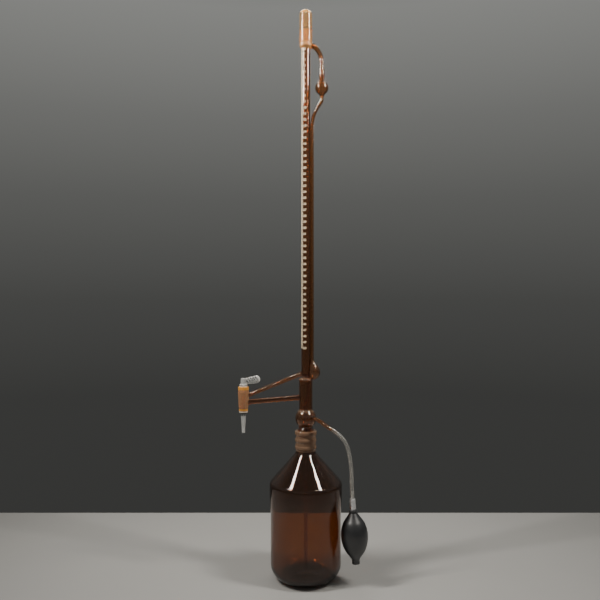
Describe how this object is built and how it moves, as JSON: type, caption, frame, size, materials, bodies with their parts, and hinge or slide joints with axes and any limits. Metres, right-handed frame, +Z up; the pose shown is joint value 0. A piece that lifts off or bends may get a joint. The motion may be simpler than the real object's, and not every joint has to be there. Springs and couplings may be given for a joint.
{
  "type": "automatic zero burette with reservoir bottle",
  "caption": "Tall amber glass automatic-zero burette seated on a round amber reservoir bottle, with side stopcock, filling tube with splash bulb, dust cap and rubber hand bulb on a clear hose.",
  "frame": {"origin": "on the axis of the reservoir bottle, in the plane of the ring that it stands on", "axes": "+Z up along the graduated tube; -X towards the outlet stopcock, +X towards the filling tube and the hand bulb, -Y towards the scale"},
  "size_m": [0.2308, 0.1304, 1.021],
  "materials": {
    "amber_glass": "polished amber borosilicate glass, fine ground at the conical joints",
    "clear_glass": "clear borosilicate glass, fine ground on the conical plug",
    "white_plastic": "white PTFE",
    "seal_rubber": "pale elastomer ring",
    "clear_pvc": "clear soft PVC tube",
    "chrome": "bright nickel-chrome plate",
    "steel": "stainless steel",
    "black_rubber": "smooth satin black moulded rubber"
  },
  "bodies": {
    "reservoir": {"reservoir_bottle": "amber_glass"},
    "burette": {"ground_cone": "amber_glass", "inlet_bulb": "amber_glass", "stem_tube": "amber_glass", "riser_tube": "amber_glass", "dip_tube": "amber_glass", "graduated_tube": "amber_glass", "zero_head": "amber_glass", "zero_tip": "amber_glass", "filling_tube_top": "amber_glass", "splash_bulb": "amber_glass", "filling_tube": "amber_glass", "filling_tube_foot": "amber_glass", "outlet_arm": "amber_glass", "brace_rod": "amber_glass", "stopcock_barrel": "amber_glass", "air_inlet_tube": "amber_glass", "hose": "clear_pvc", "bulb_valve_body": "chrome", "delivery_ball_pin": "steel", "rubber_bulb": "black_rubber", "suction_valve_body": "chrome", "suction_ball_pin": "steel"},
    "cap": {"dust_cap": "amber_glass"},
    "key": {"stopcock_key": "clear_glass", "key_handle": "clear_glass", "key_washer": "white_plastic", "key_retaining_ring": "seal_rubber"},
    "release_collar": {"vent_collar": "chrome"},
    "outlet_ball": {"delivery_ball": "steel"},
    "intake_ball": {"suction_ball": "steel"}
  },
  "joints": [
    {"name": "burette_lift", "type": "slide", "parent": "reservoir", "child": "burette", "axis": [0, 0, 1], "range_m": [0, 0.26]},
    {"name": "cap_lift", "type": "slide", "parent": "burette", "child": "cap", "axis": [0, 0, 1], "range_m": [0, 0.04]},
    {"name": "key_turn", "type": "hinge", "parent": "burette", "child": "key", "pos_m": [-0.1122, 0, 0.32], "axis": [0, 0, 1], "continuous": true},
    {"name": "vent_collar_turn", "type": "hinge", "parent": "burette", "child": "release_collar", "pos_m": [0.0816, -0.03225, 0.14691], "axis": [0.0545, -0.0091, -0.9985], "range_deg": [0, 90]},
    {"name": "delivery_ball_lift", "type": "slide", "parent": "burette", "child": "outlet_ball", "axis": [-0.0545, 0.0091, 0.9985], "range_m": [0, 0.0017]},
    {"name": "suction_ball_lift", "type": "slide", "parent": "burette", "child": "intake_ball", "axis": [-0.0545, 0.0091, 0.9985], "range_m": [0, 0.0017]}
  ]
}
